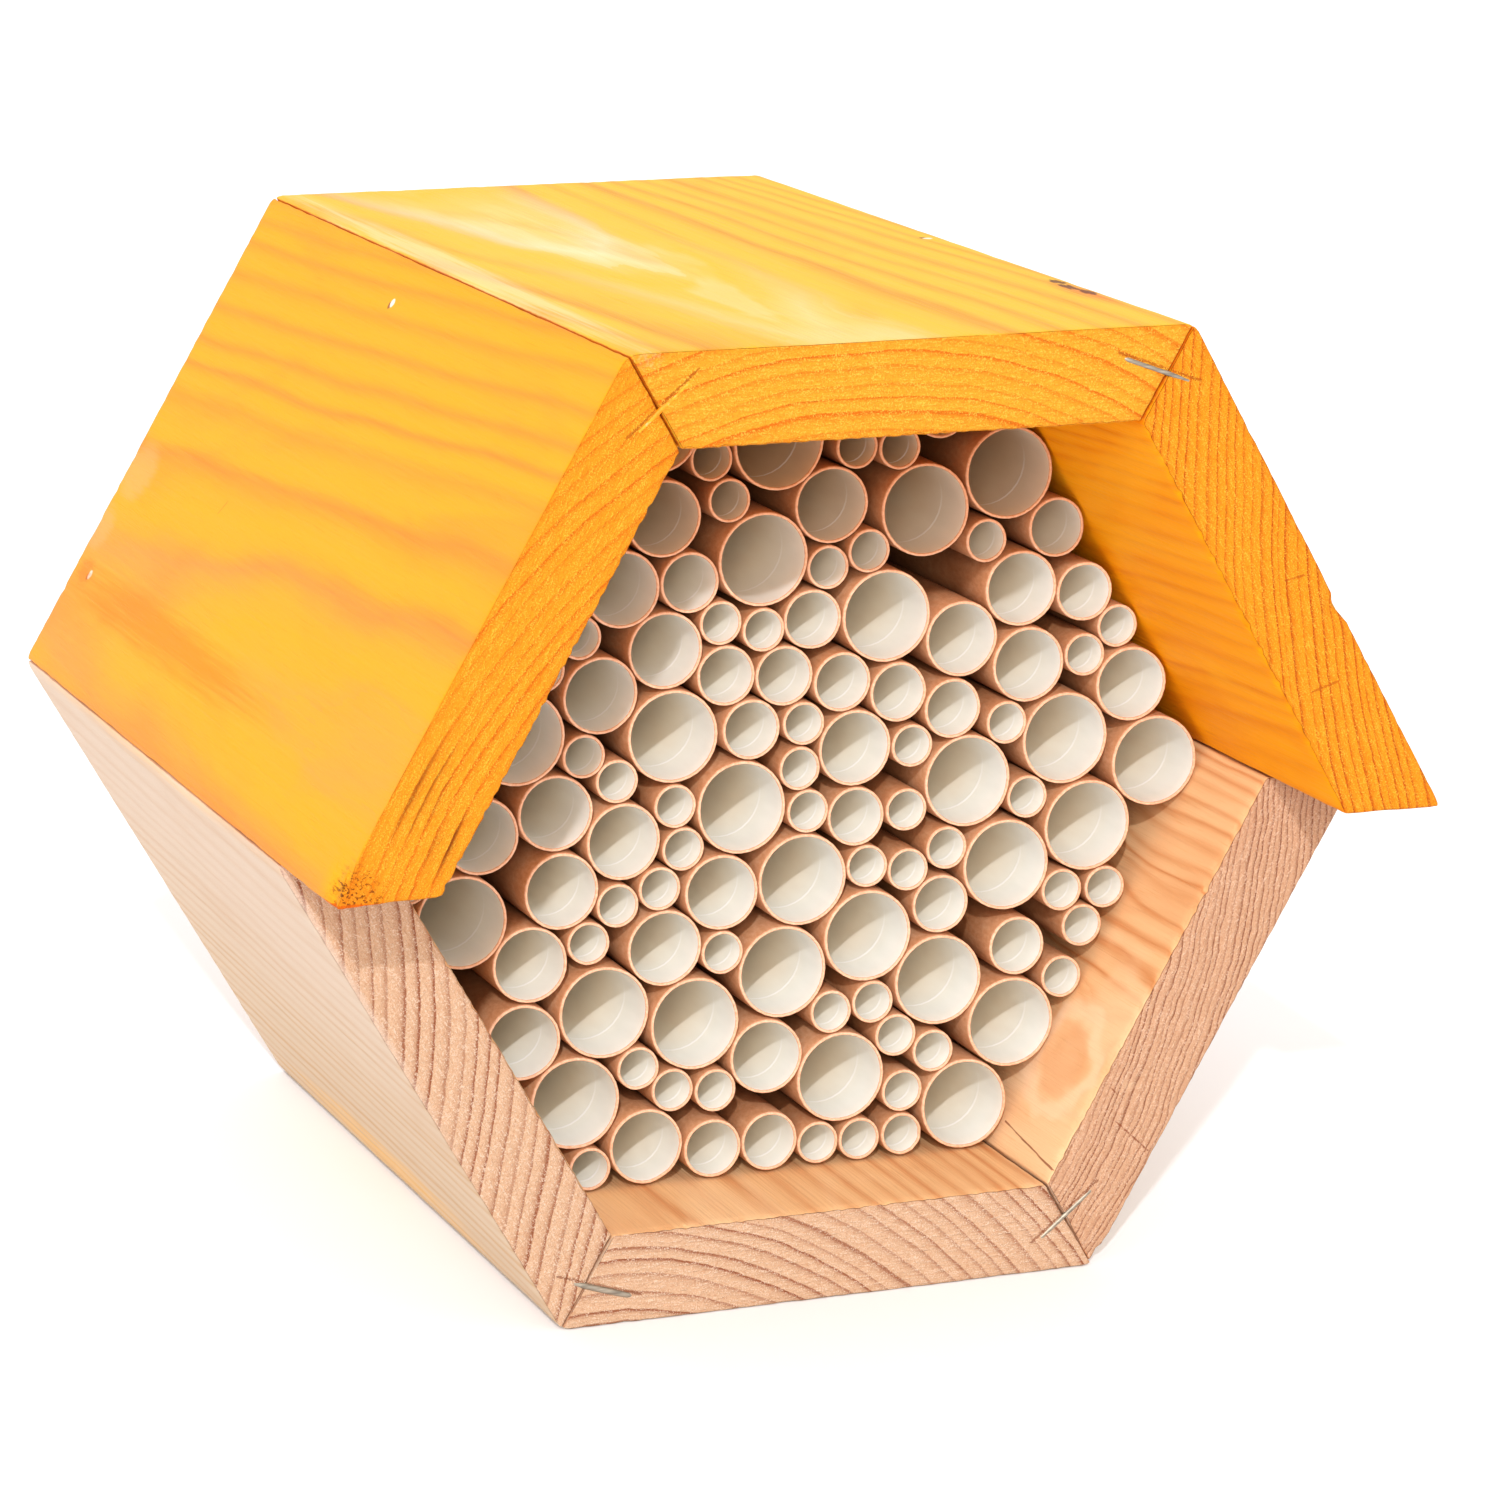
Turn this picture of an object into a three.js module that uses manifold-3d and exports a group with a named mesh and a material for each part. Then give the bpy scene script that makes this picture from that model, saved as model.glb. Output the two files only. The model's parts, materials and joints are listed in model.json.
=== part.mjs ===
// Insect hotel: a six-sided tube of mitred boards, standing on one flat, filled with paper nest tubes.
// Millimetres. +Z is up, the open front faces -Y, and the rear edges of all six boards are flush.
import * as THREE from "three";
import { mergeVertices } from "three/addons/utils/BufferGeometryUtils.js";
import Module from "manifold-3d";

const wasm = await Module();
wasm.setup();

// ---------------------------------------------------------------- driving dimensions

const side = 68;               // outer side of the hexagon
const thickness = 11;          // boards
const roofDepth = 130;         // the three painted boards, front to rear
const wallDepth = 110;         // the three bare boards, front to rear
const cornerRadius = 2.5;      // outer long corners, eased along the mitres
const glueGap = 0.3;           // clearance between pieces that touch

const panelThickness = 6;
const panelInset = 4;          // the panel sits this far in from the rear edges

const tubeSetback = 35;        // tube mouths behind the front of the roof
const tubeWall = 0.65;
const tubeClearance = 0.12;    // least space between two tubes
const tubeStop = 0.5;          // tube ends to the panel
const longestDab = 4.5;        // glue between neighbouring narrow tubes
const boreOf = { S: 4, M: 6, E: 8, L: 10 };
const sidesOf = { S: 8, M: 8, E: 12, L: 12 };

const wireWidth = 1.2;         // staple wire
const wireThickness = 1.0;
const crown = 10.8;            // staple, outside one leg to outside the other
const legLength = 12;
const crownProud = 0.35;       // front staples stand this far out of the wood

const bradHeadRadius = 1.1;
const bradShankRadius = 0.6;
const bradHeadThickness = 0.5;
const bradClearance = 0.12;

// ---------------------------------------------------------------- places that follow from them

const radians = Math.PI / 180;
const slope = Math.tan(30 * radians);
const apothem = side * Math.cos(30 * radians);
const innerApothem = apothem - thickness;
const middle = apothem;                            // height of the hexagon's middle over the ground
const rear = (roofDepth + crownProud) / 2;         // rear edges of the boards
const roofFront = rear - roofDepth;
const wallFront = rear - wallDepth;
const panelRear = rear - panelInset;
const panelFront = panelRear - panelThickness;
const tubeFront = roofFront + tubeSetback;
const tubeRear = panelFront - tubeStop;

const outerRadiusOf = (size) => boreOf[size] / 2 + tubeWall;

// The six boards in turn, clockwise from the top as seen from the front.
const boards = [
  { name: "roof_board_top", painted: true },
  { name: "roof_board_right", painted: true },
  { name: "wall_board_right", painted: false },
  { name: "floor_board", painted: false },
  { name: "wall_board_left", painted: false },
  { name: "roof_board_left", painted: true },
];

// ---------------------------------------------------------------- materials

const look = (color, roughness, metalness = 0) => () =>
  new THREE.MeshStandardMaterial({ color, roughness, metalness });

const paintedPine = look(0xf6b93b, 0.55);
const barePine = look(0xe2b083, 0.75);
const plywood = look(0xd2a877, 0.8);
const kraftPaper = look(0xd8b892, 0.8);
const stapleSteel = look(0xa9aaa8, 0.35, 1);
const bradSteel = look(0x8f908e, 0.4, 1);
const hangerSteel = look(0xb9a26a, 0.35, 1);

// ---------------------------------------------------------------- solids

function toSolid(geometry) {
  const bare = geometry.clone();
  bare.deleteAttribute("normal");
  bare.deleteAttribute("uv");
  const merged = mergeVertices(bare, 1e-5);
  const mesh = new wasm.Mesh({
    numProp: 3,
    vertProperties: Float32Array.from(merged.attributes.position.array),
    triVerts: Uint32Array.from(merged.index.array),
  });
  mesh.merge();
  return new wasm.Manifold(mesh);
}

function toGeometry(solid) {
  const mesh = solid.getMesh();
  const geometry = new THREE.BufferGeometry();
  geometry.setAttribute("position", new THREE.BufferAttribute(mesh.vertProperties, 3));
  geometry.setIndex(new THREE.BufferAttribute(mesh.triVerts, 1));
  const flat = geometry.toNonIndexed();
  flat.computeVertexNormals();
  return flat;
}

// A flat outline in X and Z, run from one depth to another.
function prism(outline, front, back, hole = null) {
  const shape = new THREE.Shape(outline.map(([x, z]) => new THREE.Vector2(x, z)));
  if (hole) shape.holes.push(new THREE.Path(hole.map(([x, z]) => new THREE.Vector2(x, z))));
  const geometry = new THREE.ExtrudeGeometry(shape, { depth: back - front, bevelEnabled: false });
  geometry.rotateX(90 * radians);
  geometry.translate(0, back, 0);
  return geometry;
}

function ring(x, z, radius, count) {
  const points = [];
  for (let i = 0; i < count; i += 1) {
    const angle = i * 2 * Math.PI / count;
    points.push([x + radius * Math.cos(angle), z + radius * Math.sin(angle)]);
  }
  return points;
}

// A board's own directions in the X-Z plane: out through its face, and along it clockwise.
function boardFrame(index) {
  const angle = (90 - 60 * index) * radians;
  const out = [Math.cos(angle), Math.sin(angle)];
  const along = [Math.sin(angle), -Math.cos(angle)];
  const place = (s, h) => [out[0] * h + along[0] * s, middle + out[1] * h + along[1] * s];
  return { out, along, place };
}

// ---------------------------------------------------------------- boards and panel

function boardOutline(index) {
  const { place } = boardFrame(index);
  const mitre = (h) => h * slope - glueGap / 2 / Math.cos(30 * radians);
  const centre = apothem - cornerRadius;
  const right = [];
  for (const angle of [0, 10, 20, 30]) {
    const h = centre + cornerRadius * Math.cos(angle * radians);
    const s = centre * slope + cornerRadius * Math.sin(angle * radians);
    right.push([Math.min(s, mitre(h)), h]);
  }
  right.push([mitre(innerApothem), innerApothem]);
  const left = right.map(([s, h]) => [-s, h]).reverse();
  return [...left, ...right].map(([s, h]) => place(s, h)).reverse();
}

function makeBoard(index) {
  const front = boards[index].painted ? roofFront : wallFront;
  return toSolid(prism(boardOutline(index), front, rear));
}

function makePanel() {
  const radius = (innerApothem - glueGap) / Math.cos(30 * radians);
  const corners = [0, 1, 2, 3, 4, 5].map((i) => [
    radius * Math.cos(60 * i * radians),
    middle + radius * Math.sin(60 * i * radians),
  ]);
  return toSolid(prism(corners, panelFront, panelRear));
}

// ---------------------------------------------------------------- staples

// A staple seen from the side: x along the crown, y into the wood, grown by a clearance.
function stapleOutline(proud, grow) {
  const half = crown / 2 + grow;
  const inner = crown / 2 - wireThickness - grow;
  const top = proud + grow;
  const under = proud - wireThickness - grow;
  const foot = proud - legLength - grow;
  const bend = 0.6;
  return [
    [-half, foot], [-inner, foot], [-inner, under], [inner, under], [inner, foot], [half, foot],
    [half, top - bend], [half - bend, top], [-half + bend, top], [-half, top - bend],
  ];
}

// face: -1 for staples driven into the front ends, +1 for the rear ends.
function makeStaple({ x, z, turn, depth, face, proud }, grow = 0) {
  const shape = new THREE.Shape(stapleOutline(proud, grow).map(([a, b]) => new THREE.Vector2(a, b)));
  const width = wireWidth + 2 * grow;
  const geometry = new THREE.ExtrudeGeometry(shape, { depth: width, bevelEnabled: false });
  geometry.translate(0, 0, -width / 2);
  if (face < 0) geometry.rotateX(180 * radians);
  geometry.rotateY(-turn * radians);
  geometry.translate(x, depth, middle + z);
  return geometry;
}

// Places from the middle of the hexagon, and the crown's turn from level.
const frontStaples = [
  { name: "staple_roof_right", x: 29.5, z: 53.7, turn: -20, depth: roofFront },
  { name: "staple_roof_left", x: -29.6, z: 52.9, turn: 41, depth: roofFront },
  { name: "staple_floor_right", x: 30.3, z: -51.9, turn: 39, depth: wallFront },
  { name: "staple_floor_left", x: -29.5, z: -54.2, turn: -18, depth: wallFront },
].map((staple) => ({ ...staple, face: -1, proud: crownProud }));

const rearStaples = [
  { name: "staple_rear_top_right", x: 30.2, z: 53.2, turn: -30, depth: rear },
  { name: "staple_rear_top_left", x: -30.2, z: 53.2, turn: 30, depth: rear },
  { name: "staple_rear_low_right", x: 30.2, z: -53.2, turn: 30, depth: rear },
  { name: "staple_rear_low_left", x: -30.2, z: -53.2, turn: -30, depth: rear },
].map((staple) => ({ ...staple, face: 1, proud: -0.1 }));

const staples = [...frontStaples, ...rearStaples];

// ---------------------------------------------------------------- brads

// A small nail from its head at the origin down the -Y axis. Grown, it is the hole for one.
function bradBlank(length, headRadius, shankRadius, headThickness, grow = 0) {
  const top = grow > 0 ? 2 : 0;
  const profile = [
    [0, -length - grow], [shankRadius + grow, -length + 1.2 - grow],
    [shankRadius + grow, -headThickness - grow], [headRadius + grow, -headThickness - grow],
    [headRadius + grow, top], [0, top],
  ];
  return new THREE.LatheGeometry(profile.map(([r, y]) => new THREE.Vector2(r, y)), 8);
}

function aim(geometry, start, direction) {
  const turn = new THREE.Quaternion();
  turn.setFromUnitVectors(new THREE.Vector3(0, -1, 0), direction.clone().normalize());
  geometry.applyQuaternion(turn);
  geometry.translate(start.x, start.y, start.z);
  return geometry;
}

// One slanted brad near the clockwise end of each board pins its mitre at mid-depth.
function mitreBrad(index, grow = 0) {
  const { out, along, place } = boardFrame(index);
  const [x, z] = place(side / 2 - 7, apothem - 0.55);
  const lean = 25 * radians;
  const dx = -out[0] * Math.cos(lean) + along[0] * Math.sin(lean);
  const dz = -out[1] * Math.cos(lean) + along[1] * Math.sin(lean);
  const start = new THREE.Vector3(x, rear - roofDepth / 2, z);
  const blank = bradBlank(15, bradHeadRadius, bradShankRadius, bradHeadThickness, grow);
  return aim(blank, start, new THREE.Vector3(dx, 0, dz));
}

// One straight brad through each board holds the rear panel by its edge.
function panelBrad(index, grow = 0) {
  const { out, place } = boardFrame(index);
  const [x, z] = place(-18.4, apothem - 0.15);
  const start = new THREE.Vector3(x, (panelFront + panelRear) / 2, z);
  const blank = bradBlank(20, bradHeadRadius, bradShankRadius, bradHeadThickness, grow);
  return aim(blank, start, new THREE.Vector3(-out[0], 0, -out[1]));
}

// ---------------------------------------------------------------- hanger on the rear panel

const hangerLength = 44;
const hangerHeight = 9;
const hangerSheet = 0.8;
const hangerLift = 1.4;                 // the toothed middle stands off the panel
const hangerTop = middle + innerApothem - 6;
const hangerFace = panelRear + 0.1;     // the sheet's side towards the panel
const hangerNailX = hangerLength / 2 - 3.5;

function hangerNail(x, grow = 0) {
  const start = new THREE.Vector3(x, hangerFace + hangerSheet + 0.6, hangerTop - hangerHeight / 2);
  return aim(bradBlank(6.5, 1.5, 0.7, 0.5, grow), start, new THREE.Vector3(0, -1, 0));
}

function makeHanger() {
  const half = hangerLength / 2;
  const step = 8;
  const ramp = 2;
  const strip = [
    [-half, 0], [-half + step, 0], [-half + step + ramp, hangerLift],
    [half - step - ramp, hangerLift], [half - step, 0], [half, 0],
    [half, hangerSheet], [half - step + 0.4, hangerSheet],
    [half - step - ramp + 0.4, hangerLift + hangerSheet],
    [-half + step + ramp - 0.4, hangerLift + hangerSheet], [-half + step - 0.4, hangerSheet],
    [-half, hangerSheet],
  ];
  const shape = new THREE.Shape(strip.map(([x, y]) => new THREE.Vector2(x, y)));
  const sheet = new THREE.ExtrudeGeometry(shape, { depth: hangerHeight, bevelEnabled: false });
  sheet.translate(0, hangerFace, hangerTop - hangerHeight);
  let solid = toSolid(sheet);
  const toothWidth = 2;
  const toothCount = 11;
  const low = hangerTop - hangerHeight;
  for (let i = 0; i < toothCount; i += 1) {
    const x = (i - (toothCount - 1) / 2) * toothWidth;
    const notch = [[x - 0.9, low - 1], [x + 0.9, low - 1], [x + 0.9, low + 0.2], [x, low + 1.8], [x - 0.9, low + 0.2]];
    solid = solid.subtract(toSolid(prism(notch, hangerFace, hangerFace + 5)));
  }
  for (const x of [-hangerNailX, hangerNailX]) {
    solid = solid.subtract(toSolid(prism(ring(x, hangerTop - hangerHeight / 2, 0.9, 8), hangerFace - 1, rear)));
  }
  return solid;
}

// ---------------------------------------------------------------- nest tubes

// Each row gives its height from the middle, then its tubes: size letter and place across.
const tubeRows = [
  [44, "E-19 S-11 S6 S12 M19 S26"],
  [40, "S-11 L-2 S8 S13"],
  [38, "L-26"],
  [36, "S-8 L28"],
  [32, "M-32 S-26 E-16 E5 L18"],
  [28, "L-4 S10 S25 M35"],
  [24, "E-34 E-21 M-13 S4"],
  [20, "S-25 S-9 S-4 M3 L12 E30 M38"],
  [16, "E-40 S-31 E-16 E23 S43"],
  [12, "E-24 M-8 M-1 M6 E31 S38"],
  [8, "M-44 L-34 L-15 M-5 S2 M14 M21 E44"],
  [4, "S-26 E8 S16 S28 L36"],
  [0, "L-48 S-21 S-15 S1 L23 L47"],
  [-4, "E-38 E-29 E-21 L-6 S3 M9 S15 S31"],
  [-8, "S-47 S-14 S20 L39"],
  [-12, "L-40 E-30 S-22 S-17 E-9 L1 S9 S15 L28"],
  [-16, "S-25 M19 S36 S41"],
  [-20, "E-32 E-16 S-9 L10 S39"],
  [-24, "L-23 L-1 L19 M30"],
  [-28, "E-33 L-12 S5 S11 S36"],
  [-32, "S-19 E-3 S14 L29"],
  [-36, "L-26 S-14 S-9 L7 S19"],
  [-40, "S15"],
  [-44, "S-25 E-18 M-10 M-2 S4 S10 S15 L23"],
];

function plannedTubes() {
  const tubes = [];
  for (const [height, row] of tubeRows) {
    for (const word of row.split(" ")) {
      const size = word[0];
      tubes.push({ size, x: Number(word.slice(1)), z: height, radius: outerRadiusOf(size) });
    }
  }
  return tubes;
}

// Push overlapping tubes apart and back inside the boards until they all fit.
function settle(tubes, passes) {
  for (let pass = 0; pass < passes; pass += 1) {
    const moves = tubes.map((a) => {
      let mx = 0;
      let mz = 0;
      for (const b of tubes) {
        const distance = Math.hypot(b.x - a.x, b.z - a.z);
        const overlap = a.radius + b.radius + tubeClearance - distance;
        if (a === b || overlap <= 0) continue;
        mx -= (b.x - a.x) / distance * overlap / 2;
        mz -= (b.z - a.z) / distance * overlap / 2;
      }
      for (let k = 0; k < 6; k += 1) {
        const nx = Math.cos((30 + 60 * k) * radians);
        const nz = Math.sin((30 + 60 * k) * radians);
        const over = a.x * nx + a.z * nz + a.radius + 0.3 - innerApothem;
        if (over <= 0) continue;
        mx -= nx * over;
        mz -= nz * over;
      }
      return [mx, mz];
    });
    tubes.forEach((tube, i) => {
      tube.x += moves[i][0] * 0.6;
      tube.z += moves[i][1] * 0.6;
    });
  }
  return tubes;
}

function tubeSolid({ size, x, z, radius }) {
  const outer = ring(x, middle + z, radius, sidesOf[size]);
  const inner = ring(x, middle + z, boreOf[size] / 2, sidesOf[size]);
  return toSolid(prism(outer, tubeFront, tubeRear, inner));
}

// A dab of glue from one tube's wall to its neighbour's, near the rear ends.
function glueDab(a, b) {
  const distance = Math.hypot(b.x - a.x, b.z - a.z);
  const start = a.radius - 0.4;
  const length = distance - start - (b.radius - 0.4);
  const dab = new THREE.BoxGeometry(length, 3, 1.2);
  dab.translate(start + length / 2, 0, 0);
  dab.rotateY(-Math.atan2(b.z - a.z, b.x - a.x));
  dab.translate(a.x, tubeRear - 6, middle + a.z);
  return toSolid(dab);
}

// The shortest set of dabs that joins every tube in the list to the others.
function shortestLinks(tubes) {
  const gap = (a, b) => Math.hypot(b.x - a.x, b.z - a.z) - a.radius - b.radius;
  const joined = new Set([0]);
  const links = [];
  while (joined.size < tubes.length) {
    let best = null;
    for (const i of joined) {
      tubes.forEach((tube, j) => {
        if (joined.has(j)) return;
        const space = gap(tubes[i], tube);
        if (!best || space < best.space) best = { from: i, to: j, space };
      });
    }
    links.push(best);
    joined.add(best.to);
  }
  return links;
}

function reachable(start, links) {
  const found = new Set([start]);
  let grew = true;
  while (grew) {
    grew = false;
    for (const { from, to } of links) {
      if (found.has(from) === found.has(to)) continue;
      found.add(from);
      found.add(to);
      grew = true;
    }
  }
  return found;
}

// Leave out one dab: one that is too long if there is any, or the one that splits the group evenly.
function splitGroup(group) {
  let best = null;
  for (const cut of group.links) {
    const rest = group.links.filter((link) => link !== cut);
    const first = reachable(cut.from, rest);
    const uneven = Math.abs(group.members.length - 2 * first.size);
    const cost = cut.space > longestDab ? -cut.space : uneven;
    if (!best || cost < best.cost) best = { first, rest, cost };
  }
  const inside = (keep) => ({
    members: group.members.filter((i) => best.first.has(i) === keep),
    links: best.rest.filter((link) => best.first.has(link.from) === keep),
  });
  return [inside(true), inside(false)];
}

function tubeGroups(tubes, count) {
  const groups = [{ members: tubes.map((_, i) => i), links: shortestLinks(tubes) }];
  const longest = (group) => Math.max(0, ...group.links.map((link) => link.space));
  const worth = (group) => (longest(group) > longestDab ? 1000 : 0) + group.members.length;
  while (groups.length < count) {
    groups.sort((a, b) => worth(b) - worth(a));
    groups.push(...splitGroup(groups.shift()));
  }
  const meanX = (group) => group.members.reduce((sum, i) => sum + tubes[i].x, 0) / group.members.length;
  return groups.sort((a, b) => meanX(a) - meanX(b));
}

function joinedTubes(tubes, group) {
  let solid = null;
  for (const i of group.members) {
    solid = solid ? solid.add(tubeSolid(tubes[i])) : tubeSolid(tubes[i]);
  }
  for (const { from, to } of group.links) {
    solid = solid.add(glueDab(tubes[from], tubes[to]));
  }
  return solid;
}

// ---------------------------------------------------------------- assembly

const hotel = new THREE.Group();
hotel.name = "insect_hotel";

function addPiece(name, geometry, material) {
  const mesh = new THREE.Mesh(geometry, material());
  mesh.name = name;
  hotel.add(mesh);
}

function addBoards() {
  const cutters = [
    ...staples.map((staple) => makeStaple(staple, 0.15)),
    ...boards.map((_, index) => mitreBrad(index, bradClearance)),
    ...boards.map((_, index) => panelBrad(index, bradClearance)),
  ].map(toSolid);
  boards.forEach(({ name, painted }, index) => {
    let solid = makeBoard(index);
    for (const cutter of cutters) solid = solid.subtract(cutter);
    addPiece(name, toGeometry(solid), painted ? paintedPine : barePine);
  });
}

function addPanel() {
  let solid = makePanel();
  for (let index = 0; index < 6; index += 1) {
    solid = solid.subtract(toSolid(panelBrad(index, bradClearance)));
  }
  for (const x of [-hangerNailX, hangerNailX]) {
    solid = solid.subtract(toSolid(hangerNail(x, bradClearance)));
  }
  addPiece("back_panel", toGeometry(solid), plywood);
}

function addFasteners() {
  for (const staple of staples) addPiece(staple.name, makeStaple(staple), stapleSteel);
  boards.forEach(({ name }, index) => {
    addPiece(`brad_mitre_${name}`, mitreBrad(index), bradSteel);
    addPiece(`brad_panel_${name}`, panelBrad(index), bradSteel);
  });
}

function addHanger() {
  addPiece("hanger", toGeometry(makeHanger()), hangerSteel);
  addPiece("hanger_nail_left", hangerNail(-hangerNailX), bradSteel);
  addPiece("hanger_nail_right", hangerNail(hangerNailX), bradSteel);
}

function addTubes() {
  const tubes = settle(plannedTubes(), 900);
  const wide = tubes.filter((tube) => tube.size === "L");
  const narrow = tubes.filter((tube) => tube.size !== "L");
  wide.forEach((tube, i) => {
    const number = String(i + 1).padStart(2, "0");
    addPiece(`tube_wide_${number}`, toGeometry(tubeSolid(tube)), kraftPaper);
  });
  const groups = tubeGroups(narrow, 4);
  ["tubes_narrow_left", "tubes_narrow_low", "tubes_narrow_right", "tube_narrow_single"].forEach((name, i) => {
    addPiece(name, toGeometry(joinedTubes(narrow, groups[i])), kraftPaper);
  });
}

addBoards();
addPanel();
addFasteners();
addHanger();
addTubes();

export default hotel;
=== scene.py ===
"""Looks for the insect hotel: mitred pine boards, a stained roof and paper nest tubes.

Metres, with the front towards -Y. Shaders and marks work in millimetres, in each board's own frame.
"""
import json
import math

import bpy
import bmesh
import numpy as np
from mathutils import Matrix, Vector, noise

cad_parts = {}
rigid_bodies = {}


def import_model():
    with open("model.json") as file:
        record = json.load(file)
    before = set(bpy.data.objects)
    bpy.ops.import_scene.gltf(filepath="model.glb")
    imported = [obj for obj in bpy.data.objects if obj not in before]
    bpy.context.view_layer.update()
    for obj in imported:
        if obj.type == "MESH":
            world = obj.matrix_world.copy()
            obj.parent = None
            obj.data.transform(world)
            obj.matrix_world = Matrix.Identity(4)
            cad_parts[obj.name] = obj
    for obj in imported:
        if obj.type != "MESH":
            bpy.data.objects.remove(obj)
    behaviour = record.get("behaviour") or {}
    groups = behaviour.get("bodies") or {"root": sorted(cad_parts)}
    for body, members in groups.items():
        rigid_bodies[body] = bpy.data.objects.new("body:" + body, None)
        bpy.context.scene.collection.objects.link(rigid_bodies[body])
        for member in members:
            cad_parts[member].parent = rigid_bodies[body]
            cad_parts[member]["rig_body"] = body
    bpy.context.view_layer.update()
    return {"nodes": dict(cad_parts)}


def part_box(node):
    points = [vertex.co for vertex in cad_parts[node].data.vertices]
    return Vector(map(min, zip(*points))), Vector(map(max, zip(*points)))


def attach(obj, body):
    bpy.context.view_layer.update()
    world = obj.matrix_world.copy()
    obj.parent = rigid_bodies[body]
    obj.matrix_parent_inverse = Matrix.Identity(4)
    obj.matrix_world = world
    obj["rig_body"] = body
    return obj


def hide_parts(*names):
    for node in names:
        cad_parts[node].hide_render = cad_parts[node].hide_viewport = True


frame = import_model()

# ---------------------------------------------------------------- sizes read from the frame

MM = 0.001
TOP_LOW, TOP_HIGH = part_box("roof_board_top")
FLOOR_LOW, FLOOR_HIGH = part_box("floor_board")
HEIGHT = TOP_HIGH.z
MIDDLE = HEIGHT / 2
THICKNESS = FLOOR_HIGH.z - FLOOR_LOW.z
INNER = MIDDLE - THICKNESS
REAR = TOP_HIGH.y
ROOF_FRONT = TOP_LOW.y
WALL_FRONT = FLOOR_LOW.y
SLOPE = math.tan(math.radians(30))
MITRE_GAP = 0.15 * MM / math.cos(math.radians(30))     # from a board's end to the middle of the joint
BARE_GAP = 0.65                 # the joints of the bare boards are this much tighter
CORNER_RADIUS = 2.5 * MM
EASED_EDGE = 0.18 * MM          # bevel along the boards' edges
WIRE_RADIUS = 0.3 * MM
THICK_WIRE_RADIUS = 0.4 * MM
TUBE_MOUTH_WALL = 0.36 * MM     # paper thickness that shows at a tube's mouth

BOARDS = [
    "roof_board_top", "roof_board_right", "wall_board_right",
    "floor_board", "wall_board_left", "roof_board_left",
]
PAINTED = {"roof_board_top", "roof_board_right", "roof_board_left"}
FRONT_STAPLES = ("staple_roof_left", "staple_roof_right", "staple_floor_left", "staple_floor_right")


def body_of(node):
    return frame["nodes"][node]["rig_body"]


def place(piece, *nodes):
    """The piece stands for these CAD nodes and rides on their body."""
    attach(piece, body_of(nodes[0]))
    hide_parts(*nodes)
    return piece


def new_object(name, mesh):
    piece = bpy.data.objects.new(name, mesh)
    bpy.context.scene.collection.objects.link(piece)
    return piece


# ---------------------------------------------------------------- node helpers

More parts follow.
